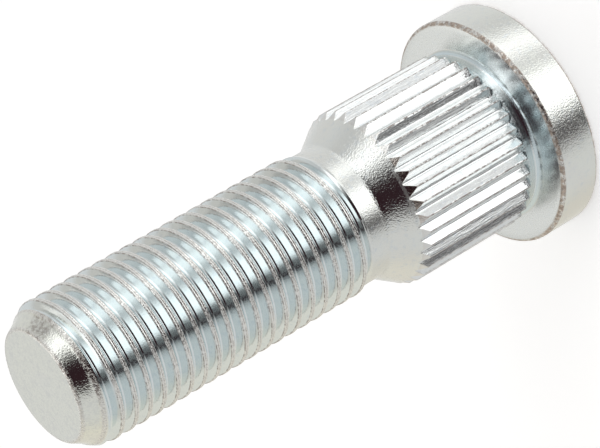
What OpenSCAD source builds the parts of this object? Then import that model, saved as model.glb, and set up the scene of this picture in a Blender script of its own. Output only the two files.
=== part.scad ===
// Press-in wheel stud: a flat-headed bolt whose serrated shank is pressed into a wheel hub from behind.
// It stands on its head. The origin is the centre of the head's outer face, and +Z points to the tip.

/* [Head] */
// Diameter of the round head
head_d = 22.4; // [20:0.1:28]
// Thickness of the head
head_t = 4.3; // [3:0.1:7]
// Rounding of the edge round the head's outer face
outer_edge_r = 0.3; // [0.1:0.05:0.4]
// Rounding of the edge round the seat, the face that bears on the hub
seat_edge_r = 0.4; // [0.4:0.05:0.8]
// Fillet between the seat and the neck under it
seat_fillet_r = 0.75; // [0.3:0.05:0.9]
// Gap between the end of that fillet and the first of the teeth
neck_len = 0.3; // [0.2:0.05:2]

/* [Serration] */
// Diameter over the crests of the teeth, before the stud is pressed in
crest_d = 17.3; // [17:0.05:18]
// Number of teeth round the shank
tooth_count = 36; // [30:1:38]
// Depth of a groove between two teeth
tooth_depth = 0.6; // [0.4:0.05:0.65]
// Radius of the round bottom of a groove
groove_bottom_r = 0.24; // [0.15:0.01:0.3]
// Included angle between the flanks of a groove
groove_angle = 86; // [80:1:87]
// Height of the full teeth above the head's outer face, where the cone shoulder begins
serration_top = 17.8; // [12:0.1:19]
// How far the neck under the head lies below the bottom of the grooves
neck_relief = 0.05; // [0.02:0.01:0.2]

/* [Shoulder and thread] */
// Half angle of the cone shoulder, measured from the axis
cone_half_angle = 33.5; // [25:0.5:45]
// Diameter of the plain neck between the cone and the thread
relief_d = 13.2; // [12.8:0.1:13.8]
// Height at which the thread begins to rise out of that neck
thread_start = 23; // [22.5:0.1:26]
// Length over which the thread rises to its full diameter
runout_len = 2; // [0.5:0.1:4]
// Major diameter of the thread
thread_d = 14; // [14:1:14]
// Whole length of the stud
stud_len = 54.4; // [40:0.1:80]
// Diameter of the flat end face, measured to the sharp corner
tip_d = 10.9; // [8:0.1:12]
// Half angle of the tip's chamfer, measured from the axis
tip_half_angle = 30; // [20:1:45]
// Rounding of the edge round the end face
tip_edge_r = 0.3; // [0.1:0.05:0.6]

/* [Hidden] */
$fn = 96;

ZINC = [0.80, 0.83, 0.82];

head_r = head_d / 2;
crest_r = crest_d / 2;
root_r = crest_r - tooth_depth;
neck_r = root_r - neck_relief;
relief_r = relief_d / 2;
thread_r = thread_d / 2;
tip_r = tip_d / 2;

// Heights along the axis, from the head up
fillet_top = head_t + seat_fillet_r;
teeth_start = fillet_top + neck_len;
// The teeth rise out of the neck at 45 degrees
teeth_full = teeth_start + crest_r - neck_r;
cone_top = serration_top + (crest_r - relief_r) / tan(cone_half_angle);
thread_full = thread_start + runout_len;
chamfer_start = stud_len - (thread_r - tip_r) / tan(tip_half_angle);

// The circle that rounds the edge of the end face touches both the chamfer and the face
tip_round_r = tip_r - tip_edge_r * (1 - sin(tip_half_angle)) / cos(tip_half_angle);
tip_round_z = stud_len - tip_edge_r;

// The grooves are cut past the crests and past both ends of the teeth by this much
over = 0.5;

// Half section of the head, with both of its edges rounded by true arcs
module head_section() {
    square([head_r - outer_edge_r, head_t - seat_edge_r]);
    square([head_r - seat_edge_r, head_t]);
    translate([0, outer_edge_r])
        square([head_r, head_t - outer_edge_r - seat_edge_r]);
    translate([head_r - outer_edge_r, outer_edge_r])
        circle(r = outer_edge_r);
    translate([head_r - seat_edge_r, head_t - seat_edge_r])
        circle(r = seat_edge_r);
}

// Concave quarter round in the corner between the seat and the neck
module fillet_section() {
    translate([neck_r, head_t])
        difference() {
            square(seat_fillet_r);
            translate([seat_fillet_r, seat_fillet_r])
                circle(r = seat_fillet_r);
        }
}

// Half section of the shank as it is turned, before the grooves are rolled into it
module shank_section() {
    polygon([
        [0, 0],
        [neck_r, 0],
        [neck_r, teeth_start],
        [crest_r, teeth_full],
        [crest_r, serration_top],
        [relief_r, cone_top],
        [relief_r, thread_start],
        [thread_r, thread_full],
        [thread_r, chamfer_start],
        [tip_round_r + tip_edge_r * cos(tip_half_angle), tip_round_z + tip_edge_r * sin(tip_half_angle)],
        [tip_round_r, stud_len],
        [0, stud_len]
    ]);
    translate([tip_round_r, tip_round_z])
        circle(r = tip_edge_r);
}

// The whole stud as a body of revolution
module blank() {
    rotate_extrude() {
        head_section();
        fillet_section();
        shank_section();
    }
}

// Section of one groove, lying along +X: a round bottom that runs into two straight flanks,
// which go on wide enough to cut clear of the crests
module groove_section() {
    half_angle = groove_angle / 2;
    bottom_centre = root_r + groove_bottom_r;
    flank_foot = bottom_centre - groove_bottom_r * sin(half_angle);
    foot_half = groove_bottom_r * cos(half_angle);
    mouth_half = foot_half + (crest_r + over - flank_foot) * tan(half_angle);
    translate([bottom_centre, 0])
        circle(r = groove_bottom_r);
    polygon([
        [flank_foot, -foot_half],
        [crest_r + over, -mouth_half],
        [crest_r + over, mouth_half],
        [flank_foot, foot_half]
    ]);
}

// The grooves between the teeth. They run out into the neck below and into the cone above.
module grooves() {
    bottom = teeth_start - neck_len / 2;
    translate([0, 0, bottom])
        linear_extrude(height = cone_top + over - bottom)
            for (tooth = [0 : tooth_count - 1])
                rotate((tooth + 0.5) * 360 / tooth_count)
                    groove_section();
}

module wheel_stud() {
    color(ZINC)
        difference() {
            blank();
            grooves();
        }
}

wheel_stud();
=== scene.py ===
"""A press-in wheel stud of zinc-plated steel, modelled, finished and lit for its picture.

The stud stands on the flat outer face of its head, with its axis along +Z and the centre of that
face at the origin. Sizes are in millimetres in the dataclasses and become metres in the meshes.
"""

import logging
import math
from dataclasses import dataclass
from enum import Enum
from typing import Callable

import bmesh
import bpy
from mathutils import Matrix, Vector


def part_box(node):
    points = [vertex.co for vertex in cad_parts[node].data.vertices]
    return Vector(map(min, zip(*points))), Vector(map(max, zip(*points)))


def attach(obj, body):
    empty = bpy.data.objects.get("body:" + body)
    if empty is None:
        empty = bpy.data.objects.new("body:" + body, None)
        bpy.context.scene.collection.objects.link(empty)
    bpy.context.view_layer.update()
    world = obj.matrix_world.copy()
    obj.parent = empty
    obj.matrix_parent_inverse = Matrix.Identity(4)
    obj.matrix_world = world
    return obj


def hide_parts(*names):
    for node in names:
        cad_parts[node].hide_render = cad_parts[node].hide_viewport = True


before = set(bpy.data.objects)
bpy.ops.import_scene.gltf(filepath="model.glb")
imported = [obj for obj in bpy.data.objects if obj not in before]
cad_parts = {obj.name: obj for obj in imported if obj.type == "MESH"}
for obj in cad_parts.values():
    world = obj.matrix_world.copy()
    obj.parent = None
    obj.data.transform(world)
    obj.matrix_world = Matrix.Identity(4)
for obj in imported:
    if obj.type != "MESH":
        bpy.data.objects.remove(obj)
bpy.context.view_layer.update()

Object = bpy.types.Object
Socket = bpy.types.NodeSocket
Colour = tuple[float, float, float]
Profile = list[tuple[float, float]]
Curve = tuple[tuple[float, float], ...]
# How much each named mask counts
Weights = tuple[tuple[str, float], ...]
# Masks in the order of their making, as Masks.add() reads them
Table = tuple[tuple, ...]

LOG = logging.getLogger("wheel_stud")
MM = 0.001
# Vertices closer together than this are one, in metres
WELD = 1e-6
# Differences too small to matter, in mm or degrees
TINY = 1e-6
# Levels per mm by which the rings of a mesh are told apart
LEVELS = 10000
# Degrees by which camera and tent are turned about the stud, to see its teeth as the photograph does
TURN = 1.3
# Where a Mix node has its share and its two colours, and the mixed colour
MIX_INPUTS, MIX_OUTPUT = (0, 6, 7), 2


def tan(angle: float) -> float:
    """Tangent of an angle in degrees."""
    return math.tan(math.radians(angle))


def bearing(place: Vector) -> float:
    """Angle of a place about the stud's axis, in degrees from +X."""
    return math.degrees(math.atan2(place.y, place.x))


def divide(first: float, last: float, parts: int) -> list[float]:
    """Divides a stretch evenly, and gives the end of every part."""
    return [first + (last - first) * k / parts for k in range(1, parts + 1)]


def clear_selection() -> None:
    """Leaves edit mode and deselects every object."""
    if bpy.context.object and bpy.context.object.mode != "OBJECT":
        bpy.ops.object.mode_set(mode="OBJECT")
    bpy.ops.object.select_all(action="DESELECT")


def make_active(thing: Object) -> None:
    """Selects one object alone and makes it the active one."""
    clear_selection()
    thing.select_set(True)
    bpy.context.view_layer.objects.active = thing


def edit(thing: Object) -> None:
    """Opens one object in edit mode."""
    make_active(thing)
    bpy.ops.object.mode_set(mode="EDIT")


def leave_edit() -> None:
    """Goes back to object mode."""
    bpy.ops.object.mode_set(mode="OBJECT")


class Part(Enum):
    """What is selected in edit mode."""

    VERTEX = "VERT"
    EDGE = "EDGE"
    FACE = "FACE"


def select_none(kind: Part) -> None:
    """Deselects everything in edit mode and sets what kind of part is selected next."""
    bpy.ops.mesh.select_mode(type=kind.value)
    bpy.ops.mesh.select_all(action="DESELECT")


def select_vertices(thing: Object, members: list[int]) -> None:
    """Selects, in edit mode, the vertices with the given numbers."""
    bpy.ops.mesh.select_all(action="DESELECT")
    mesh = bmesh.from_edit_mesh(thing.data)
    mesh.verts.ensure_lookup_table()
    for index in members:
        mesh.verts[index].select = True


def select_open_edge(thing: Object, height: float) -> None:
    """Selects, in edit mode, the open edge of a shell that lies at one height, in mm."""
    select_none(Part.EDGE)
    mesh = bmesh.from_edit_mesh(thing.data)
    for edge in mesh.edges:
        if edge.is_boundary and all(abs(vertex.co.z - height * MM) < 10 * WELD for vertex in edge.verts):
            edge.select_set(True)
    bmesh.update_edit_mesh(thing.data)


def scale_about_axis(factor: float) -> None:
    """Scales what is selected towards or away from the stud's axis, to factor times its radius."""
    bpy.ops.transform.resize(value=(factor, factor, 1), center_override=(0, 0, 0))


def weld(distance: float = WELD) -> None:
    """Merges all vertices in edit mode that lie within a distance of each other, in metres."""
    bpy.ops.mesh.select_all(action="SELECT")
    bpy.ops.mesh.remove_doubles(threshold=distance)


def apply_modifier(thing: Object, kind: str, **settings: object) -> None:
    """Adds a modifier with the given settings and applies it at once.

    Args:
        thing: The object to shape.
        kind: Blender's name for the modifier.
        settings: The modifier's values by name.
    """
    make_active(thing)
    modifier = thing.modifiers.new(kind.title(), kind)
    for name, value in settings.items():
        setattr(modifier, name, value)
    bpy.ops.object.modifier_apply(modifier=modifier.name)


def put_in_order(thing: Object) -> None:
    """Sorts vertices, edges and faces by place, as a boolean leaves them in another order each run."""
    def rank(place: Vector) -> float:
        """Gives a number that differs from place to place."""
        return place.x * math.pi + place.y * math.e + place.z

    edit(thing)
    mesh = bmesh.from_edit_mesh(thing.data)
    mesh.verts.sort(key=lambda vertex: rank(vertex.co))
    mesh.edges.sort(key=lambda edge: rank(edge.verts[0].co + edge.verts[1].co))
    mesh.faces.sort(key=lambda face: rank(face.calc_center_median()))
    for parts in (mesh.verts, mesh.edges, mesh.faces):
        parts.index_update()
    bmesh.update_edit_mesh(thing.data)
    leave_edit()


def arc_stations(
    centre_z: float, centre_r: float, bend: float, start: float, end: float, steps: int
) -> Profile:
    """Works out heights and radii along a rounded edge of the profile.

    Args:
        centre_z: Height of the arc's centre, in mm.
        centre_r: Radius at which that centre lies, in mm.
        bend: The arc's own radius, in mm.
        start: Angle of the first point, in degrees from the outward direction towards +Z.
        end: Angle of the last point.
        steps: Number of equal steps.

    Returns:
        Pairs of height and radius, from start to end.
    """
    turns = [math.radians(start + (end - start) * k / steps) for k in range(steps + 1)]
    return [(centre_z + bend * math.sin(t), centre_r + bend * math.cos(t)) for t in turns]


class Lathe:
    """Turns a closed round body upwards from its lowest face, one ring at a time."""

    def __init__(self, name: str, segments: int, radius: float, height: float = 0.0) -> None:
        """Starts a body with a flat round face.

        Args:
            name: Name of the new object.
            segments: Vertices in each ring.
            radius: Radius of the first ring, in mm.
            height: Height of the first ring, in mm.
        """
        clear_selection()
        bpy.ops.mesh.primitive_circle_add(
            vertices=segments, radius=radius * MM, fill_type="NGON", location=(0, 0, height * MM)
        )
        self.piece = bpy.context.object
        self.piece.name = self.piece.data.name = name
        bpy.ops.object.transform_apply(location=True, rotation=True, scale=True)
        self.height, self.radius = height, radius
        bpy.ops.object.mode_set(mode="EDIT")
        bpy.ops.mesh.select_mode(type="FACE")
        bpy.ops.mesh.select_all(action="SELECT")

    def ring(self, height: float, radius: float) -> None:
        """Draws the top face up to the next ring, with a height and radius in mm."""
        bpy.ops.mesh.extrude_region_move(
            TRANSFORM_OT_translate={"value": (0, 0, (height - self.height) * MM)}
        )
        scale_about_axis(radius / self.radius)
        self.height, self.radius = height, radius

    def rings(self, stations: Profile) -> None:
        """Draws the body up through several rings, given as heights and radii in mm."""
        for height, radius in stations:
            if abs(height - self.height) > TINY or abs(radius - self.radius) > TINY:
                self.ring(height, radius)

    def finish(self) -> Object:
        """Leaves edit mode and hands the body over."""
        leave_edit()
        return self.piece


@dataclass
class Head:
    """The flat round head and the fillet and plain neck under it, in mm."""

    radius: float
    thickness: float = 4.3
    outer_edge: float = 0.3
    seat_edge: float = 0.4
    fillet: float = 0.6
    neck_radius: float = 8.0
    neck_length: float = 0.5
    side_rings: tuple[float, float] = (0.35, 0.65)
    edge_steps: int = 5
    seat_edge_steps: int = 7
    seat_steps: int = 4
    fillet_steps: int = 9

    def first_radius(self) -> float:
        """Radius of the flat part of the outer face."""
        return self.radius - self.outer_edge

    def neck_top(self) -> float:
        """Height at which the first teeth begin."""
        return self.thickness + self.fillet + self.neck_length

    def stations(self) -> Profile:
        """Works out the head's profile from the outer face to the first teeth.

        Returns:
            Pairs of height and radius.
        """
        seat = self.thickness
        foot = self.neck_radius + self.fillet
        rim = self.radius - self.seat_edge
        return [
            *arc_stations(self.outer_edge, self.first_radius(), self.outer_edge, -90, 0, self.edge_steps),
            *[(seat * share, self.radius) for share in self.side_rings],
            *arc_stations(seat - self.seat_edge, rim, self.seat_edge, 0, 90, self.seat_edge_steps),
            *[(seat, radius) for radius in divide(rim, foot, self.seat_steps)[:-1]],
            *arc_stations(seat + self.fillet, foot, self.fillet, 270, 180, self.fillet_steps),
            (self.neck_top(), self.neck_radius),
        ]


@dataclass
class Serration:
    """The rolled teeth and the cone that cuts them off, in mm and degrees.

    A tooth is drawn over half its width as angles from its crest, each with a depth below it.
    """

    crest_radius: float = 8.65
    teeth: int = 36
    half_tooth: Curve = (
        (0.0, 0.0), (0.25, 0.008), (0.50, 0.034), (0.80, 0.082), (2.24, 0.288), (3.76, 0.524),
        (4.10, 0.564), (4.53, 0.591), (5.0, 0.600),
    )
    first_ring: float = 0.001
    full_length: float = 0.5
    rise_steps: int = 6
    rise_bend: float = 1.3
    crest_rings: tuple[float, float] = (0.06, 0.2)
    long_steps: int = 4
    top: float = 17.8
    cone_half_angle: float = 33.5
    shoulder_round: float = 1.1
    shoulder_steps: int = 4

    @property
    def per_tooth(self) -> int:
        """Vertices of a ring that belong to one tooth."""
        return 2 * (len(self.half_tooth) - 1)

    @property
    def segments(self) -> int:
        """Vertices in a ring."""
        return self.teeth * self.per_tooth

    @property
    def step_angle(self) -> float:
        """Even spacing of a ring's vertices, in degrees."""
        return 360 / self.segments

    def point(self, place: Vector) -> tuple[int, int]:
        """Finds which point of a tooth's section a vertex is, while the vertices are evenly spaced.

        Args:
            place: Where the vertex is.

        Returns:
            The point of the half section, from 0 at the crest, and its side, 1 or -1.
        """
        turn = round(bearing(place) / self.step_angle) % self.per_tooth
        return min(turn, self.per_tooth - turn), 1 if turn <= self.per_tooth // 2 else -1

    def cone_height(self, radius: float) -> float:
        """Height at which the cone has the given radius."""
        return self.top + (self.crest_radius - radius) / tan(self.cone_half_angle)

    def blank_radius(self, height: float) -> float:
        """Radius over the crests, on the shank and on the cone, at a height."""
        return min(self.crest_radius, self.crest_radius - (height - self.top) * tan(self.cone_half_angle))

    def root_radius(self) -> float:
        """Radius at the bottom of a groove."""
        return self.crest_radius - self.half_tooth[-1][1]

    def stations(self, bottom: float, relief_radius: float) -> Profile:
        """Works out the blank's profile from the neck to the small end of the cone.

        Args:
            bottom: Height at which the teeth begin.
            relief_radius: Radius of the plain neck beyond the cone.

        Returns:
            Pairs of height and radius.
        """
        full = bottom + self.full_length
        rise = divide(bottom, full, self.rise_steps)
        flats = [*[full + gap for gap in self.crest_rings], *divide(full, self.top, self.long_steps)]
        cut = [self.crest_radius - depth for _, depth in self.half_tooth[1:]]
        slope = divide(self.root_radius(), relief_radius, self.long_steps)[:-1]
        bend, half = self.shoulder_round, self.cone_half_angle
        corner = self.cone_height(relief_radius) + bend * tan(half / 2)
        return [
            *[(height, self.crest_radius) for height in (bottom + self.first_ring, *rise, *flats)],
            *[(self.cone_height(radius), radius) for radius in (*cut, *slope)],
            *arc_stations(corner, relief_radius + bend, bend, 180 + half, 180, self.shoulder_steps),
        ]

    def sunk_radius(self, depth: float, height: float, bottom: float, neck_radius: float) -> float:
        """Works out the radius of a point of the tooth, which sinks into the neck near the head.

        Args:
            depth: The point's depth below the crest of a full tooth.
            height: Height of its ring.
            bottom: Height at which the teeth begin.
            neck_radius: Radius of the neck.

        Returns:
            The point's radius.
        """
        short = max(0.0, 1 - (height - bottom) / self.full_length)
        sink = (self.crest_radius - neck_radius) * short**self.rise_bend
        return max(neck_radius, self.crest_radius - depth - sink)


@dataclass
class Thread:
    """The rolled M14 x 1.5 right-hand thread, its run-out and its chamfered end, in mm and degrees.

    One pitch is drawn over half its width as heights from the middle of the crest, each with a radius.
    The small dip in the middle of the crest is the seam that rolling leaves. The ridge stands on the
    chamfer's upper edge, and its edge is drawn as heights from its top with shares of its own height.
    """

    pitch: float = 1.5
    half_pitch: Curve = (
        (0.0, 6.945), (0.045, 6.965), (0.10, 6.985), (0.155, 6.975), (0.195, 6.925), (0.322, 6.705),
        (0.45, 6.483), (0.577, 6.263), (0.609, 6.22), (0.65, 6.187), (0.698, 6.167), (0.75, 6.16),
    )
    segments: int = 128
    blank_radius: float = 6.6
    crest_height: float = 26.25
    start: float = 22.3
    sink: tuple[float, float] = (22.65, 23.0)
    rise: tuple[float, float] = (22.9, 24.0)
    major_radius: float = 7.0
    length: float = 54.4
    waste: float = 0.8
    tip_radius: float = 5.45
    tip_half_angle: float = 30.0
    tip_edge: float = 0.3
    tip_edge_steps: int = 5
    ridge: float = 0.11
    ridge_top: float = 52.86
    ridge_edge: Curve = ((-0.1, 1.0), (0.0, 0.93), (0.08, 0.7), (0.16, 0.35), (0.24, 0.08), (0.3, 0.0))

    def section(self, bottom: float) -> list[tuple[float, float, float]]:
        """Lays one whole pitch of the section out in the XZ plane.

        Args:
            bottom: Height of its first crest.

        Returns:
            Its points, in metres.
        """
        falling = list(self.half_pitch)
        rising = [(self.pitch - offset, radius) for offset, radius in reversed(falling[:-1])]
        return [(radius * MM, 0.0, (bottom + offset) * MM) for offset, radius in falling + rising]

    def share(self, radius: float, height: float) -> float:
        """Works out how much of its full form the thread has at a place in its run-out.

        The rolls press the roots in at once, and the crests fill up over a longer way.

        Args:
            radius: Radius of the full form there, in mm.
            height: Height in mm.

        Returns:
            0 on the plain blank, up to 1 for the full form.
        """
        low, high = self.rise if radius > self.blank_radius else self.sink
        return min(1.0, max(0.0, (height - low) / (high - low)))

    def chamfer_radius(self, height: float) -> float:
        """Radius of the tip's chamfer at a height."""
        return self.tip_radius + (self.length - height) * tan(self.tip_half_angle)

    def edge_stations(self) -> Profile:
        """Heights and radii of the rounded edge, from the chamfer to the end face."""
        slope = math.radians(self.tip_half_angle)
        centre = self.tip_radius - self.tip_edge * (1 - math.sin(slope)) / math.cos(slope)
        return arc_stations(
            self.length - self.tip_edge, centre, self.tip_edge, self.tip_half_angle, 90, self.tip_edge_steps
        )


@dataclass
class TipGauge:
    """The solid of which the threaded bar keeps what they share: chamfer, ridge and end face, in mm."""

    thread: Thread
    clearance: float = 0.5
    depth: float = 3.0
    segments: int = 288
    slope_steps: int = 9
    face_rings: tuple[float, ...] = (0.75, 0.5, 0.25)

    def build(self) -> Object:
        """Turns the closed gauge."""
        form = self.thread
        radius = form.major_radius + self.clearance
        shoulder = form.length - (radius - form.tip_radius) / tan(form.tip_half_angle)
        gauge = Lathe("tip_gauge", self.segments, radius, form.start - self.depth)
        gauge.ring(shoulder, radius)
        edge = form.edge_stations()
        heights = divide(shoulder, edge[0][0], self.slope_steps)[:-1]
        slope = [(z, form.chamfer_radius(z)) for z in heights]
        crown = [(form.ridge_top + above, share) for above, share in form.ridge_edge]
        foot, end = form.ridge_top + 2 * form.ridge_edge[0][0], crown[-1][0]
        gauge.rings([(z, r + form.ridge) for z, r in slope if z < foot])
        gauge.rings([(z, form.chamfer_radius(z) + form.ridge * share) for z, share in crown])
        gauge.rings([(z, r) for z, r in slope if z > end])
        gauge.rings(edge)
        gauge.rings([(form.length, edge[-1][1] * share) for share in self.face_rings])
        return gauge.finish()


class WheelStud:
    """The stud: one closed mesh, from the head's outer face to the end of the thread."""

    name = "zinc_plated_stud"
    node = "wheel_stud"
    # Gap between the blank and the thread, in mm, that a last row of faces closes
    joint_gap = 0.05
    neck_steps = 3
    # How close a vertex lies to the line between a flank and the cone, in mm and in degrees
    edge_reach = (0.003, 0.05)
    # The plain cylinder, in metres, onto which the run-out is drawn
    gauge_sides = 720
    gauge_length = 0.1
    smooth_angle = 42
    # A face that looks down has a normal below this
    downward = -0.9

    def __init__(self) -> None:
        """Takes the head's radius and the stud's length from the frame."""
        low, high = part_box(self.node)
        radius = min(abs(value) for value in (low[0], low[1], high[0], high[1])) / MM
        self.head = Head(radius=radius)
        self.serration = Serration()
        self.thread = Thread(length=high[2] / MM)

    def turn_blank(self) -> Object:
        """Turns the head, the neck, the shank without its grooves, the cone and the relief.

        Returns:
            The blank, open at its top.
        """
        radius = self.thread.blank_radius
        lathe = Lathe(self.name, self.serration.segments, self.head.first_radius())
        lathe.rings(self.head.stations())
        lathe.rings(self.serration.stations(self.head.neck_top(), radius))
        top = self.thread.start - self.joint_gap
        lathe.rings([(z, radius) for z in divide(lathe.height, top, self.neck_steps)])
        bpy.ops.mesh.delete(type="ONLY_FACE")
        return lathe.finish()

    def roll_teeth(self, blank: Object) -> None:
        """Presses the grooves into the blank, point by point of the tooth's section.

        Args:
            blank: The turned blank.
        """
        teeth = self.serration
        bottom = self.head.neck_top()
        low, high = bottom + teeth.first_ring / 2, teeth.cone_height(teeth.root_radius()) + 100 / LEVELS
        edit(blank)
        mesh = bmesh.from_edit_mesh(blank.data)
        zone: dict[tuple[int, int], list[int]] = {}
        for vertex in mesh.verts:
            height = vertex.co.z / MM
            if low < height < high:
                key = round(height * LEVELS), teeth.point(vertex.co)[0]
                zone.setdefault(key, []).append(vertex.index)
        for (level, point), members in zone.items():
            height, depth = level / LEVELS, teeth.half_tooth[point][1]
            before = teeth.blank_radius(height)
            after = min(before, teeth.sunk_radius(depth, height, bottom, self.head.neck_radius))
            if before - after > 10 * TINY:
                select_vertices(blank, members)
                scale_about_axis(after / before)
        self.crowd_vertices(blank)
        self.split_cut_ends(blank)
        leave_edit()

    def crowd_vertices(self, blank: Object) -> None:
        """Turns the evenly spaced vertices to the angles of the tooth's section.

        Args:
            blank: The blank in edit mode.
        """
        teeth = self.serration
        places: dict[tuple[int, int], list[int]] = {}
        mesh = bmesh.from_edit_mesh(blank.data)
        for vertex in mesh.verts:
            places.setdefault(teeth.point(vertex.co), []).append(vertex.index)
        for (point, side), members in places.items():
            shift = teeth.half_tooth[point][0] - point * teeth.step_angle
            if abs(shift) > TINY:
                select_vertices(blank, members)
                bpy.ops.transform.rotate(
                    value=-side * math.radians(shift), orient_axis="Z", center_override=(0, 0, 0)
                )

    def split_cut_ends(self, blank: Object) -> None:
        """Joins the corners where a flank meets the cone, so that the edge between them is true.

        Args:
            blank: The blank in edit mode.
        """
        teeth = self.serration
        crest, pitch = teeth.crest_radius, 360 / teeth.teeth
        corners = [(teeth.cone_height(crest - depth), angle) for angle, depth in teeth.half_tooth]
        reach, swing = self.edge_reach

        def on_edge(place: Vector) -> bool:
            """Says whether a vertex lies on the line between a flank and the cone."""
            turn, height = bearing(place) % pitch, place.z / MM
            turn = min(turn, pitch - turn)
            return any(abs(height - z) < reach and abs(turn - angle) < swing for z, angle in corners)

        mesh = bmesh.from_edit_mesh(blank.data)
        select_none(Part.VERTEX)
        select_vertices(blank, [vertex.index for vertex in mesh.verts if on_edge(vertex.co)])
        bpy.ops.mesh.vert_connect()
        select_none(Part.EDGE)
        mesh = bmesh.from_edit_mesh(blank.data)
        for line in mesh.edges:
            first, last = (vertex.co for vertex in line.verts)
            line.select = on_edge(first) and on_edge(last) and abs(first.z - last.z) > WELD
        bmesh.update_edit_mesh(blank.data)
        bpy.ops.mesh.mark_sharp()

    def roll_thread(self) -> Object:
        """Winds the thread's section up a helix, fades its start and dresses its end to the chamfer.

        Returns:
            The closed threaded bar with the finished tip.
        """
        form = self.thread
        turns_below = math.ceil((form.crest_height - form.start + form.pitch) / form.pitch) + 1
        bottom = form.crest_height - turns_below * form.pitch
        turns = math.ceil((form.length + 2 * form.pitch - bottom) / form.pitch)
        points = form.section(bottom)

        clear_selection()
        bpy.ops.mesh.primitive_plane_add(size=MM, location=(0, 0, 0))
        thread = bpy.context.object
        bpy.ops.object.mode_set(mode="EDIT")
        bpy.ops.mesh.select_mode(type="VERT")
        bpy.ops.mesh.select_all(action="SELECT")
        bpy.ops.mesh.merge(type="CENTER")
        bpy.ops.transform.translate(value=points[0])
        for before, after in zip(points, points[1:]):
            step = tuple(b - a for a, b in zip(before, after))
            bpy.ops.mesh.extrude_region_move(TRANSFORM_OT_translate={"value": step})
        leave_edit()
        apply_modifier(
            thread, "SCREW", axis="Z", angle=math.tau, screw_offset=form.pitch * MM, iterations=turns,
            steps=form.segments, render_steps=form.segments, use_merge_vertices=True, merge_threshold=WELD,
        )
        edit(thread)
        weld()
        leave_edit()
        self.fade_run_out(thread)
        self.close_ends(thread, form.start, form.length + form.waste)
        gauge = TipGauge(form).build()
        apply_modifier(thread, "BOOLEAN", operation="INTERSECT", solver="EXACT", object=gauge)
        bpy.data.objects.remove(gauge)
        put_in_order(thread)
        return thread

    def fade_run_out(self, thread: Object) -> None:
        """Draws the first turns of the thread in towards the plain blank.

        Args:
            thread: The wound thread.
        """
        form = self.thread
        clear_selection()
        bpy.ops.mesh.primitive_cylinder_add(
            vertices=self.gauge_sides, radius=form.blank_radius * MM, depth=self.gauge_length,
            end_fill_type="NOTHING",
        )
        gauge = bpy.context.object
        fade = thread.vertex_groups.new(name="run_out")
        for vertex in thread.data.vertices:
            radius = math.hypot(vertex.co.x, vertex.co.y) / MM
            fade.add([vertex.index], 1 - form.share(radius, vertex.co.z / MM), "REPLACE")
        apply_modifier(
            thread, "SHRINKWRAP", target=gauge, vertex_group="run_out",
            wrap_method="NEAREST_SURFACEPOINT", wrap_mode="ON_SURFACE",
        )
        thread.vertex_groups.clear()
        bpy.data.objects.remove(gauge)

    def close_ends(self, thread: Object, bottom: float, top: float) -> None:
        """Cuts the wound thread square at both ends and closes it, so that it is a solid bar.

        Args:
            thread: The wound thread.
            bottom: Height of the lower cut, in mm.
            top: Height of the upper cut, in mm.
        """
        edit(thread)
        for height, upper in ((bottom, False), (top, True)):
            bpy.ops.mesh.select_all(action="SELECT")
            bpy.ops.mesh.bisect(
                plane_co=(0, 0, height * MM), plane_no=(0, 0, 1), clear_inner=not upper, clear_outer=upper,
                threshold=WELD / 10,
            )
        weld(5 * WELD)
        for height in (bottom, top):
            select_open_edge(thread, height)
            bpy.ops.mesh.edge_face_add()
        bpy.ops.mesh.select_all(action="SELECT")
        bpy.ops.mesh.normals_make_consistent(inside=False)
        leave_edit()

    def join(self, blank: Object, thread: Object) -> Object:
        """Welds the blank and the thread into one closed mesh.

        Args:
            blank: The blank with its teeth.
            thread: The thread with its tip.

        Returns:
            The finished stud.
        """
        edit(thread)
        cut = self.thread.start * MM
        select_none(Part.FACE)
        mesh = bmesh.from_edit_mesh(thread.data)
        for face in mesh.faces:
            level = abs(face.calc_center_median().z - cut) < 10 * WELD
            face.select = level and face.normal.z < self.downward
        bmesh.update_edit_mesh(thread.data)
        bpy.ops.mesh.delete(type="ONLY_FACE")
        make_active(blank)
        thread.select_set(True)
        bpy.ops.object.join()
        bpy.ops.object.mode_set(mode="EDIT")
        select_none(Part.EDGE)
        bpy.ops.mesh.select_non_manifold(
            use_wire=False, use_multi_face=False, use_non_contiguous=False, use_verts=False
        )
        bpy.ops.mesh.bridge_edge_loops()
        bpy.ops.mesh.select_mode(type="VERT")
        weld()
        bpy.ops.mesh.normals_make_consistent(inside=False)
        leave_edit()
        bpy.ops.object.shade_smooth_by_angle(angle=math.radians(self.smooth_angle))
        return blank

    def build(self) -> Object:
        """Makes the stud and sets it in the frame.

        Returns:
            The finished piece.
        """
        blank = self.turn_blank()
        self.roll_teeth(blank)
        piece = self.join(blank, self.roll_thread())
        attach(piece, "root")
        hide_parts(self.node)
        triangles = sum(len(face.vertices) - 2 for face in piece.data.polygons)
        LOG.info("%s: %d triangles", piece.name, triangles)
        return piece


class Calc(Enum):
    """What a Math node works out."""

    MINUS = "SUBTRACT"
    TIMES = "MULTIPLY"
    TIMES_PLUS = "MULTIPLY_ADD"
    OVER = "DIVIDE"
    LARGER = "MAXIMUM"
    SIZE = "ABSOLUTE"
    ROOT = "SQRT"
    BEARING = "ARCTAN2"
    ARCSINE = "ARCSINE"
    DEGREES = "DEGREES"


# A mask that asks for all of its parts, and one that asks for any of them
ALL, ANY = Calc.TIMES, Calc.LARGER


class Blend(Enum):
    """How a Mix node puts its second colour to the first."""

    COVER = "MIX"
    FILTER = "MULTIPLY"


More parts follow.
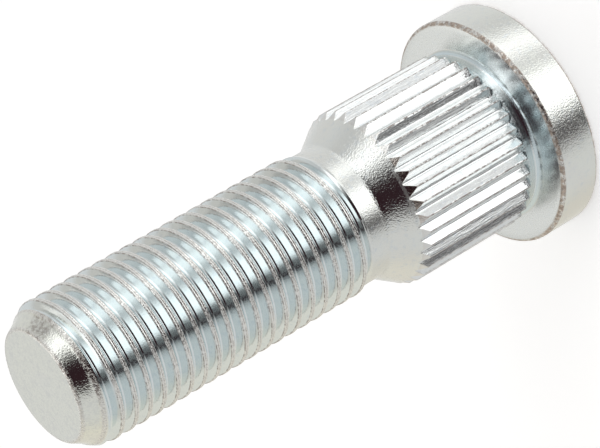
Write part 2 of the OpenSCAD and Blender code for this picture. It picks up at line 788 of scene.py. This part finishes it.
class Sheet:
    """Lays out shader nodes in a material or a world."""

    def __init__(self, tree: bpy.types.NodeTree) -> None:
        """Takes the node tree to lay nodes in."""
        self.tree = tree

    def node(self, kind: str, **settings: object) -> bpy.types.Node:
        """Adds a node.

        Args:
            kind: The node's type, without the ShaderNode in front.
            settings: The node's own settings by name.

        Returns:
            The new node.
        """
        node = self.tree.nodes.new("ShaderNode" + kind)
        for name, value in settings.items():
            setattr(node, name, value)
        return node

    def feed(self, node: bpy.types.Node, **values: object) -> bpy.types.Node:
        """Links or sets inputs, named with _ for a blank, and hands the node back."""
        for name, value in values.items():
            self.put(node.inputs[name.replace("_", " ")], value)
        return node

    def put(self, socket: Socket, value: object) -> None:
        """Links an input to an output, or sets its own value."""
        if isinstance(value, Socket):
            self.tree.links.new(value, socket)
        else:
            socket.default_value = value

    def calc(self, kind: Calc, *values: object) -> Socket:
        """Works a result out of up to three values with a Math node."""
        node = self.node("Math", operation=kind.value)
        for socket, value in zip(node.inputs, values):
            self.put(socket, value)
        return node.outputs[0]

    def chain(self, kind: Calc, *values: object) -> Socket:
        """Takes several values together, one after the other."""
        result = values[0]
        for value in values[1:]:
            result = self.calc(kind, result, value)
        return result

    def times(self, *values: object) -> Socket:
        """Multiplies several values."""
        return self.chain(Calc.TIMES, *values)

    def sum(self, base: object, *terms: tuple[object, object]) -> Socket:
        """Adds to a base several values, each times its weight."""
        for value, weight in terms:
            base = self.calc(Calc.TIMES_PLUS, value, weight, base)
        return base

    def ramp(self, value: object, low: float, high: float, to_low: float = 0, to_high: float = 1) -> Socket:
        """Adds a smooth step from one value to another.

        Args:
            value: What is measured.
            low: Where the step begins.
            high: Where it ends, which may be below low.
            to_low: Value before the step.
            to_high: Value after it.

        Returns:
            The stepped value.
        """
        if high < low:
            low, high, to_low, to_high = high, low, to_high, to_low
        node = self.node("MapRange", interpolation_type="SMOOTHSTEP")
        self.feed(node, Value=value, From_Min=low, From_Max=high, To_Min=to_low, To_Max=to_high)
        return node.outputs[0]

    def band(self, value: object, low: float, high: float, soft: float) -> Socket:
        """Adds a mask that is 1 between two values, with an edge of a given width about each."""
        rise = self.ramp(value, low - soft / 2, low + soft / 2)
        fall = self.ramp(value, high + soft / 2, high - soft / 2)
        return self.times(rise, fall)

    def noise(self, vector: Socket, scale: float, detail: float, rough: float) -> Socket:
        """Adds a noise, 0.5 on average, with grains per metre, finer layers and their strength."""
        node = self.node("TexNoise")
        self.feed(node, Vector=vector, Scale=scale, Detail=detail, Roughness=rough)
        return node.outputs["Fac"]

    def curve(self, value: Socket, stops: Curve) -> Socket:
        """Adds a scale of greys read off a value.

        Args:
            value: What is measured.
            stops: Pairs of a value and the grey there, in rising order.

        Returns:
            The grey.
        """
        low, high = stops[0][0], stops[-1][0]
        share = self.feed(self.node("MapRange"), Value=value, From_Min=low, From_Max=high)
        ramp = self.feed(self.node("ValToRGB"), Fac=share.outputs[0])
        points = ramp.color_ramp.elements
        while len(points) < len(stops):
            points.new(0.5)
        for point, (place, _) in zip(points, stops):
            point.position = (place - low) / (high - low)
        for point, (_, grey) in zip(points, stops):
            point.color = (grey, grey, grey, 1)
        return ramp.outputs[0]

    def tone(self, share: object, first: object, second: object, blend: Blend = Blend.COVER) -> Socket:
        """Puts the second colour to the first, by a share from 0 to 1."""
        node = self.node("Mix", data_type="RGBA", blend_type=blend.value)
        for index, value in zip(MIX_INPUTS, (share, first, second)):
            self.put(node.inputs[index], (*value, 1) if isinstance(value, tuple) else value)
        return node.outputs[MIX_OUTPUT]


class Masks:
    """Named values and the masks made from them, laid out as nodes on one sheet."""

    def __init__(self, sheet: Sheet, **values: Socket) -> None:
        """Takes the sheet and the first values by name."""
        self.sheet = sheet
        self.values = {"one": 1.0, **values}

    def take(self, part: str | tuple) -> object:
        """Takes a value as it is, or limits it first.

        Args:
            part: The value's name, or that and one number to multiply it by, two or four for
                Sheet.ramp() or three for Sheet.band().

        Returns:
            The value or the mask.
        """
        if isinstance(part, str):
            return self.values[part]
        name, *numbers = part
        shapes = {1: self.sheet.times, 2: self.sheet.ramp, 3: self.sheet.band, 4: self.sheet.ramp}
        return shapes[len(numbers)](self.values[name], *numbers)

    def add(self, table: Table) -> None:
        """Adds masks in turn.

        Args:
            table: Each mask's name, how its parts go together, and its parts, as take() reads them.
        """
        for name, how, *parts in table:
            self.values[name] = self.sheet.chain(how, *[self.take(part) for part in parts])

    def weigh(self, base: float, weights: Weights) -> Socket:
        """Adds to a base several masks, each times its weight."""
        return self.sheet.sum(base, *[(self.values[name], weight) for name, weight in weights])


@dataclass(frozen=True)
class StudMap:
    """Tells the finish where on the stud it is, in mm, and lays the patterns on it.

    The slant is the same along the chamfer, and the fall along the cone. Sides are bearings in degrees
    from -Y towards +X; one of them places a painted highlight on the seat. Patterns have their grains per
    metre, finer layers and the strength of these.
    """

    slant: float = 0.57735
    fall: float = 0.662
    # to_lit is the side of the seat on which a highlight is painted
    sides: Weights = (("to_dark", -9.0), ("to_lit", 22.0), ("to_stain", 48.0))
    patterns: Table = (
        ("grain", 5600, 1.5, 0.6), ("fine", 9000, 1, 0.5), ("cloud", 320, 3, 0.55),
        ("blotch", 1900, 3, 0.65), ("dash", 3000, 3, 0.7), ("speck", 5200, 2, 0.6),
    )
    streak: tuple[float, float, float] = (5200, 3, 0.7)
    streak_stretch: tuple[float, float, float] = (1, 1, 0.09)
    turning_scale: float = 5.0
    zones: Table = (
        ("chamfer", ALL, ("height", 52.45, 52.6), ("slant", 36.7, 36.78)),
        ("end", ANY, "chamfer", ("height", 54.2, 54.3)),
        ("body", Calc.MINUS, "one", "end"),
        ("thread", ALL, ("height", 22.8, 23.6), "body"),
        ("teeth", ALL, ("height", 5.6, 18.4, 0.5)),
        ("tooth_foot", ALL, ("height", 5.3, 6.2, 0.4)),
        ("cone", ALL, ("height", 18.0, 21.2, 0.4)),
        ("neck", ALL, ("height", 21.0, 23.0, 0.3)),
        ("under_head", ALL, ("height", 4.4, 5.9, 0.3)),
        ("seat", ALL, ("height", 4.2, 4.6, 0.15), ("radius", 8.2, 8.8)),
        ("seat_rim", ALL, "seat", ("across", 7.4, 9.0)),
        ("seat_middle", ALL, "seat", ("across", 8.0, 4.5)),
        # painted highlight: the seat is painted paler on the side turned to_lit, standing in for light it
        # reflects
        ("seat_lit", ALL, "seat", ("to_lit", 0.965, 0.99)),
        ("fillet", ALL, ("height", 4.33, 4.6, 0.06), ("radius", 8.8, 8.65)),
        ("side", ALL, ("radius", 10.9, 11.1)),
        ("flat", ANY, "cone", "chamfer", "side"),
        ("crest", ALL, "thread", ("radius", 6.88, 6.94)),
        ("crest_side", ALL, "thread", ("radius", 6.86, 6.94, 0.03)),
        ("seam", ALL, "thread", ("radius", 6.935, 6.962, 0.012)),
        ("flank", ALL, "thread", ("radius", 6.93, 6.86)),
        ("tooth_line", ALL, ("height", 5.4, 18.6, 0.4), ("radius", 8.59, 8.63)),
        ("cone_low", ALL, ("height", 18.6, 18.88, 0.12), ("fall", 20.3, 20.5, 0.04)),
        ("cone_foot", ALL, "cone_low", ("to_dark", 0.88, 0.98)),
        ("rims", ANY, ("height", 3.86, 4.0), ("height", 0.32, 0.12)),
        ("rim", ALL, ("radius", 10.8, 10.95), "rims"),
        ("tip_rim", ALL, ("height", 54.1, 54.2), ("radius", 5.15, 5.3)),
        ("ridge", ALL, ("height", 52.6, 52.95, 0.1), ("slant", 36.875, 36.9)),
        ("tip_edges", ANY, "tip_rim", "ridge"),
        ("tops", ANY, "crest", "tooth_line", "rim", "tip_edges"),
    )
    # wear marks, and painted shade in the pits at the teeth's cut ends
    wear_and_shade: Table = (
        ("patchy", ALL, ("dash", 0.47, 0.55)),
        ("lines", ANY, ("crest_side", 0.7), ("seam", 0.25), ("tooth_line", 0.75), ("rim", 0.45)),
        ("worn_lines", ALL, "lines", ("dash", 0.47, 0.55, 0.15, 1.0)),
        ("worn_tip", ALL, "tip_edges", ("to_dark", 0.88, 0.98, 0.2, 1.0), ("speck", 0.38, 0.62, 0.1, 0.8)),
        ("stain", ALL, "chamfer", ("to_stain", 0.965, 0.99), ("dash", 0.4, 0.6, 0.05, 0.5)),
        ("bare", ANY, "worn_lines", "worn_tip", "stain"),
        ("brown_rim", ALL, "rim", ("blotch", 0.4, 0.56, 0.0, 0.9)),
        # painted shade: the pits where the grooves run out into the cone are painted brownish dark, more on
        # the side turned to_dark, standing in for their shadow
        ("tooth_cut", ALL, ("height", 17.78, 18.5, 0.12), ("fall", 20.38, 20.43)),
        ("cut", ALL, "tooth_cut", ("to_dark", 0.88, 0.98, 0.2, 0.8)),
        # real browning on the rim, together with the painted shade at the teeth's cut ends
        ("browned", ANY, "brown_rim", "cut"),
    )
    tints: Table = (
        ("tealish", ANY, ("cloud", 0.35, 0.7, 0.0, 0.25), ("under_head", 0.9), ("teeth", 0.2), "flank"),
        ("watery", ANY, "seat_middle", "fillet"),
        ("off_seat", Calc.MINUS, ("one", 0.35), ("seat", 0.2)),
        ("bluish", ALL, ("blotch", 0.5, 0.75), "off_seat"),
        ("cream_end", ALL, "end", ("cloud", 0.3, 0.6, 0.6, 1.0)),
        ("cream_side", ALL, "side", ("cloud", 0.4, 0.65, 0.0, 0.4)),
        ("creamy", ANY, "cream_end", "cream_side"),
        ("spots", ANY, "blotch", "speck"),
        ("mottled", ALL, "end", ("spots", 0.46, 0.66, 0.0, 0.55)),
    )

    def lay(self, sheet: Sheet) -> Masks:
        """Lays all masks and patterns out as nodes.

        Args:
            sheet: The material's sheet.

        Returns:
            The masks and patterns.
        """
        place = sheet.node("TexCoord").outputs["Object"]
        x, y, z = sheet.feed(sheet.node("SeparateXYZ"), Vector=place).outputs
        reach = sheet.calc(Calc.ROOT, sheet.sum(sheet.times(x, x), (y, y)))
        radius, height = sheet.times(reach, 1 / MM), sheet.times(z, 1 / MM)
        on = Masks(
            sheet, radius=radius, height=height, across=sheet.times(sheet.calc(Calc.SIZE, x), 1 / MM),
            slant=sheet.sum(radius, (height, self.slant)), fall=sheet.sum(radius, (height, self.fall)),
        )
        for name, side in self.sides:
            turn = math.radians(side)
            facing = sheet.sum(sheet.times(x, math.sin(turn)), (y, -math.cos(turn)))
            on.values[name] = sheet.calc(Calc.OVER, facing, reach)
        for name, *numbers in self.patterns:
            on.values[name] = sheet.noise(place, *numbers)
        stretched = sheet.feed(sheet.node("Mapping"), Vector=place, Scale=self.streak_stretch)
        on.values["streak"] = sheet.noise(stretched.outputs[0], *self.streak)
        turning = sheet.node("TexNoise", noise_dimensions="1D")
        sheet.feed(turning, W=sheet.calc(Calc.MINUS, radius, height), Scale=self.turning_scale)
        on.values["turned"] = turning.outputs["Fac"]
        on.add(self.zones + self.wear_and_shade + self.tints)
        return on


@dataclass(frozen=True)
class ZincPlate:
    """Bright zinc over rolled and forged steel, with its grain, its tints and its worn edges, and with
    painted light: a highlight painted on one side of the seat and shade painted into the teeth's cut ends.

    Each layer has the mask where it lies, as Masks.take() reads it, and its colour. Each part of the
    relief has its pattern, its height in all places and what the masks add to that.
    """

    pale: Colour = (0.81, 0.82, 0.785)
    stone: Colour = (0.71, 0.725, 0.70)
    layers: tuple[tuple[str | tuple, Colour], ...] = (
        (("teeth", 0.9), (0.88, 0.89, 0.885)),
        ("tealish", (0.79, 0.85, 0.855)),
        ("seat_rim", stone),
        ("watery", (0.70, 0.80, 0.83)),
        # painted highlight on one side of the seat
        ("seat_lit", (0.95, 0.97, 0.97)),
        ("bluish", (0.62, 0.70, 0.78)),
        ("creamy", (0.84, 0.855, 0.78)),
        ("mottled", stone),
        (("tops", 0.55), (0.88, 0.865, 0.835)),
        # brown wear on the rim, and painted shade in the teeth's cut ends
        ("browned", (0.52, 0.43, 0.36)),
        ("bare", (0.20, 0.15, 0.13)),
    )
    roughness: float = 0.08
    matt: Weights = (
        ("grain", 0.08), ("seat", 0.16), ("teeth", 0.01), ("cone_foot", 0.2), ("fillet", 0.08),
        ("neck", 0.11), ("chamfer", -0.04), ("tops", 0.05), ("bare", 0.2),
    )
    relief: tuple[tuple[str, float, Weights], ...] = (
        ("grain", 0.3, (("flat", 1.3), ("cone", 0.7), ("tops", 1.4), ("neck", 1.2), ("under_head", 0.8))),
        ("fine", 0.1, (("flat", 1.3), ("tops", 0.4), ("neck", 0.8), ("teeth", 0.3))),
        ("streak", 0.0, (("teeth", 1.6),)),
        ("turned", 0.0, (("under_head", 2.0),)),
        ("dash", 0.0, (("tooth_foot", 11.0),)),
        ("patchy", 0.0, (("tops", 1.6),)),
    )
    relief_height: float = 0.012

    def material(self) -> bpy.types.Material:
        """Builds the finish as a material."""
        material = bpy.data.materials.new("zinc_plate")
        material.use_nodes = True
        sheet = Sheet(material.node_tree)
        on = StudMap().lay(sheet)
        colour = self.pale
        for mask, paint in self.layers:
            colour = sheet.tone(on.take(mask), colour, paint)
        height = 0.0
        for pattern, base, weights in self.relief:
            swing = sheet.calc(Calc.MINUS, on.values[pattern], 0.5)
            height = sheet.sum(height, (swing, on.weigh(base, weights)))
        bump = sheet.node("Bump")
        sheet.feed(bump, Strength=1, Distance=self.relief_height * MM, Height=height)
        rough = on.weigh(self.roughness, self.matt)
        shader = material.node_tree.nodes["Principled BSDF"]
        sheet.feed(shader, Metallic=1, Base_Color=colour, Roughness=rough, Normal=bump.outputs[0])
        return material


@dataclass(frozen=True)
class FloorPaint:
    """Plain pale paint that shows white to the camera but keeps the stud's shadow."""

    grey: float = 0.85
    roughness: float = 0.9
    glow: float = 0.45

    def material(self) -> bpy.types.Material:
        """Builds the finish as a material."""
        material = bpy.data.materials.new("floor_paint")
        material.use_nodes = True
        sheet = Sheet(material.node_tree)
        seen = sheet.node("LightPath").outputs["Is Camera Ray"]
        sheet.feed(
            material.node_tree.nodes["Principled BSDF"],
            Base_Color=(self.grey, self.grey, self.grey, 1), Roughness=self.roughness, Specular_IOR_Level=0,
            Emission_Color=(1, 1, 1, 1), Emission_Strength=sheet.times(seen, self.glow),
        )
        return material


@dataclass(frozen=True)
class Studio:
    """A plain pale floor inside a light tent of white cloth with dark and bright panels.

    Each ring of the tent is a list of angles with the light that comes from there, where the azimuth
    is measured from the camera's side, from -Y towards +X. The roof is told by its sideways direction,
    and begins at an elevation and at a depth from front to rear.
    """

    floor_size: float = 4.0
    corner_cloth: Colour = (0.85, 0.81, 0.76)
    warm_cloth: Colour = (0.97, 0.93, 0.84)
    dark_cloth: Colour = (0.030, 0.015, 0.019)
    card_cloth: Colour = (1.6, 1.6, 1.6)
    low_ring: Curve = (
        (-180, 0.88), (-150, 0.76), (-110, 0.72), (-62, 0.7), (-55, 0.6), (-50, 0.45), (-46, 0.24),
        (-43.5, 0.03), (-39, 0.01), (-37.5, 0.06), (-35.5, 0.28), (-33, 0.13), (-28, 0.19), (-25, 0.42),
        (-21, 0.88), (-17, 1.32), (-10, 1.55), (14, 1.55), (24, 1.12), (31, 0.76), (38, 0.69),
        (44, 0.96), (50, 1.3), (62, 1.38), (70, 1.12), (80, 0.68), (90, 0.68), (110, 0.78), (150, 0.8),
        (180, 0.88),
    )
    level_ring: Curve = (
        (-180, 0.74), (-150, 0.8), (-130, 0.82), (-100, 0.7), (-70, 0.7), (-60, 0.69), (-52, 0.63),
        (-46, 0.43), (-41, 0.18), (-37, 0.05), (-33, 0.005), (1, 0.005), (7, 0.03), (12, 0.07),
        (17, 0.13), (22, 0.27), (31, 0.56), (36, 0.96), (42, 1.35), (50, 1.45), (60, 1.42), (67, 1.0),
        (73, 0.68), (80, 0.61), (95, 0.62), (110, 0.71), (140, 0.72), (180, 0.74),
    )
    roof: Curve = (
        (-1.0, 0.78), (-0.56, 0.64), (-0.5, 0.62), (-0.39, 0.62), (-0.35, 0.61), (-0.31, 0.52),
        (-0.27, 0.43), (-0.22, 0.32), (-0.18, 0.34), (-0.145, 0.7), (-0.1, 1.25), (-0.05, 1.6),
        (0.12, 1.6), (0.165, 1.55), (0.2, 1.38), (0.23, 1.16), (0.27, 1.08), (0.33, 1.05), (0.4, 0.96),
        (0.44, 0.86), (0.46, 1.05), (0.485, 1.25), (0.505, 1.15), (0.52, 0.8), (0.54, 0.48), (0.6, 0.5),
        (1.0, 0.72),
    )
    places: Table = (
        ("level", ALL, ("elevation", -17, -9)),
        ("front_roof", ALL, ("elevation", 62, 70), ("y", -0.26, -0.14)),
        ("rear_roof", ALL, ("elevation", 33, 40), ("y", -0.2, -0.05)),
        ("roof", ANY, "front_roof", "rear_roof"),
        ("beside", ALL, ("turn", 174, 158)),
        ("warm", ALL, ("azimuth", -90, -130), ("elevation", 62, 40), "beside"),
        ("corner", ALL, ("azimuth", 95, 140), ("elevation", 18, 28), "beside"),
        ("card", ALL, ("azimuth", 74, 92, 4), ("elevation", -23, -12, 3), ("one", 0.6)),
    )
    dark_light: float = 0.14

    def tent_light(self) -> None:
        """Builds the world: the tent's rings and roof, by direction."""
        world = bpy.data.worlds.new("light_tent")
        bpy.context.scene.world = world
        world.use_nodes = True
        world.node_tree.nodes.clear()
        sheet = Sheet(world.node_tree)
        direction = sheet.node("TexCoord").outputs["Generated"]
        turned = sheet.node("VectorRotate", rotation_type="Z_AXIS")
        sheet.feed(turned, Vector=direction, Angle=math.radians(TURN))
        x, y, z = sheet.feed(sheet.node("SeparateXYZ"), Vector=turned.outputs[0]).outputs
        azimuth = sheet.calc(Calc.DEGREES, sheet.calc(Calc.BEARING, x, sheet.times(y, -1.0)))
        elevation = sheet.calc(Calc.DEGREES, sheet.calc(Calc.ARCSINE, z))
        on = Masks(sheet, y=y, azimuth=azimuth, elevation=elevation, turn=sheet.calc(Calc.SIZE, azimuth))
        on.add(self.places)

        low, level = sheet.curve(azimuth, self.low_ring), sheet.curve(azimuth, self.level_ring)
        light = sheet.tone(on.take("level"), low, level)
        light = sheet.tone(on.take("roof"), light, sheet.curve(x, self.roof))
        light = sheet.tone(sheet.ramp(light, self.dark_light, 0.0), light, self.dark_cloth)
        light = sheet.tone(on.take("warm"), light, self.warm_cloth, Blend.FILTER)
        light = sheet.tone(on.take("corner"), light, self.corner_cloth, Blend.FILTER)
        light = sheet.tone(on.take("card"), light, self.card_cloth)

        seen = sheet.node("LightPath").outputs["Is Camera Ray"]
        background = sheet.feed(sheet.node("Background"), Color=sheet.tone(seen, light, (1, 1, 1)))
        sheet.feed(sheet.node("OutputWorld"), Surface=background.outputs[0])

    def floor(self) -> None:
        """Lays the floor. The metal doesn't mirror it, but the tent."""
        clear_selection()
        bpy.ops.mesh.primitive_plane_add(size=self.floor_size, location=(0, 0, 0))
        floor = bpy.context.object
        floor.name = "floor"
        floor.data.materials.append(FloorPaint().material())
        floor.visible_glossy = False

    def build(self) -> None:
        """Sets up the stage."""
        self.tent_light()
        self.floor()


@dataclass(frozen=True)
class CameraView:
    """Where the photograph was taken from, in the stud's frame, in mm and degrees."""

    azimuth: float = -0.23
    elevation: float = 28.12
    roll: float = 120.01
    distance: float = 289.1
    aim: tuple[float, float, float] = (1.027, 0.0, 25.17)
    lens: float = 195.0
    sensor: float = 36.0
    nearest: float = 10.0

    def build(self) -> None:
        """Places the camera."""
        turn, lift, roll = (math.radians(v) for v in (self.azimuth, self.elevation, self.roll))
        back = Vector((math.sin(turn) * math.cos(lift), -math.cos(turn) * math.cos(lift), math.sin(lift)))
        right = Vector((0, 0, 1)).cross(back).normalized()
        up = back.cross(right)
        up_rolled = up * math.cos(roll) + right * math.sin(roll)
        right_rolled = up_rolled.cross(back)
        data = bpy.data.cameras.new("camera")
        data.lens = self.lens
        data.sensor_width = self.sensor
        data.clip_start = self.nearest * MM
        camera = bpy.data.objects.new("camera", data)
        bpy.context.scene.collection.objects.link(camera)
        place = (Vector(self.aim) + back * self.distance) * MM
        pose = Matrix.Translation(place) @ Matrix((right_rolled, up_rolled, back)).transposed().to_4x4()
        camera.matrix_world = Matrix.Rotation(-math.radians(TURN), 4, "Z") @ pose
        bpy.context.scene.camera = camera


def main() -> None:
    """Builds the stud, dresses it and sets the stage."""
    logging.basicConfig(level=logging.INFO, format="%(name)s: %(message)s")
    stud = WheelStud().build()
    stud.data.materials.clear()
    stud.data.materials.append(ZincPlate().material())
    Studio().build()
    CameraView().build()
    bpy.context.scene.view_settings.view_transform = "Standard"


if __name__ == "__main__":
    main()
